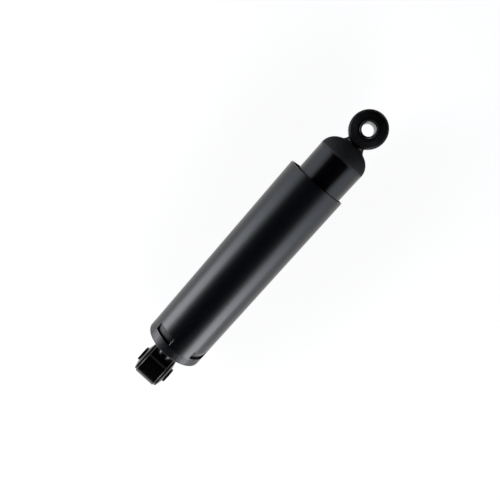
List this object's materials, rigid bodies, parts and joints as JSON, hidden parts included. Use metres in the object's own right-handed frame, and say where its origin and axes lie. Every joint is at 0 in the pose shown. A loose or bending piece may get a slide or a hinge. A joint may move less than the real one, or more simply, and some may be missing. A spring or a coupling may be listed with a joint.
{
  "type": "shock absorber",
  "caption": "Telescopic twin tube shock absorber with a painted dust cover and a rubber bushed mounting eye at each end, the eyes at right angles.",
  "frame": {"origin": "centre of the body eye's bore, halfway along its steel sleeve", "axes": "+X along the damper toward the rod eye, the way it extends; +Z along the body eye's bore; +Y along the rod eye's bore"},
  "size_m": [0.3967, 0.0727, 0.0694],
  "materials": {
    "cover_paint": "satin",
    "tube_paint": "satin",
    "eye_paint": "semi-gloss",
    "bush_rubber": "moulded matt",
    "sleeve_steel": "turned",
    "rod_chrome": "hard chromed",
    "drawn_steel": "drawn",
    "sintered_iron": "sintered",
    "valve_spring_steel": "blued",
    "plated_fastener": "zinc plated",
    "bearing_lining": "filled",
    "seal_rubber": "moulded",
    "stop_rubber": "moulded"
  },
  "bodies": {
    "body_sleeve": {"body_eye_sleeve": "sleeve_steel"},
    "damper_body": {"base_cap": "tube_paint", "reserve_tube": "tube_paint", "pressure_tube": "drawn_steel", "foot_valve_body": "sintered_iron", "foot_valve_spring": "valve_spring_steel", "foot_valve_spacer": "drawn_steel", "foot_valve_shims": "valve_spring_steel", "foot_valve_washer": "plated_fastener", "foot_valve_nut": "plated_fastener", "foot_valve_bolt": "plated_fastener", "rod_guide": "sintered_iron", "guide_bush": "bearing_lining", "guide_o_ring": "seal_rubber", "rod_seal": "seal_rubber", "seal_garter_spring": "valve_spring_steel", "seal_cap": "drawn_steel", "body_eye_ring": "eye_paint", "body_eye_weld": "tube_paint", "body_eye_bush": "bush_rubber"},
    "foot_plate": {"foot_valve_plate": "valve_spring_steel"},
    "band": {"piston_band": "bearing_lining"},
    "rod_assembly": {"piston_rod": "rod_chrome", "piston": "sintered_iron", "piston_valve_spring": "valve_spring_steel", "piston_valve_spacer": "drawn_steel", "valve_retainer": "drawn_steel", "piston_shims": "valve_spring_steel", "piston_washer": "plated_fastener", "piston_nut": "plated_fastener", "rebound_stop": "stop_rubber", "bump_stop": "stop_rubber", "cover_cap": "eye_paint", "dust_cover": "cover_paint", "rod_boss": "eye_paint", "cap_weld": "eye_paint", "rod_eye_weld": "eye_paint", "rod_eye_ring": "eye_paint", "rod_eye_bush": "bush_rubber"},
    "piston_plate": {"piston_valve_plate": "valve_spring_steel"},
    "rod_sleeve": {"rod_eye_sleeve": "sleeve_steel"}
  },
  "joints": [
    {"name": "body_bush_twist", "type": "hinge", "parent": "body_sleeve", "child": "damper_body", "pos_m": [0, 0, 0], "axis": [0, 0, 1], "range_deg": [-12, 12], "stiffness_Nm_per_rad": 60},
    {"name": "rod_stroke", "type": "slide", "parent": "damper_body", "child": "band", "axis": [1, 0, 0], "range_m": [-0.01, 0.16]},
    {"name": "rod_turn", "type": "hinge", "parent": "band", "child": "rod_assembly", "pos_m": [0.0919, 0, 0], "axis": [1, 0, 0], "continuous": true},
    {"name": "rod_bush_twist", "type": "hinge", "parent": "rod_assembly", "child": "rod_sleeve", "pos_m": [0.3565, 0, 0], "axis": [0, 1, 0], "range_deg": [-12, 12], "stiffness_Nm_per_rad": 60},
    {"name": "foot_plate_lift", "type": "slide", "parent": "damper_body", "child": "foot_plate", "axis": [1, 0, 0], "range_m": [0, 0.0012], "stiffness_N_per_m": 400, "springref_m": -0.0005, "deforming": ["foot_valve_spring"]},
    {"name": "piston_plate_lift", "type": "slide", "parent": "rod_assembly", "child": "piston_plate", "axis": [1, 0, 0], "range_m": [0, 0.0012], "stiffness_N_per_m": 400, "springref_m": -0.0005, "deforming": ["piston_valve_spring"]}
  ]
}
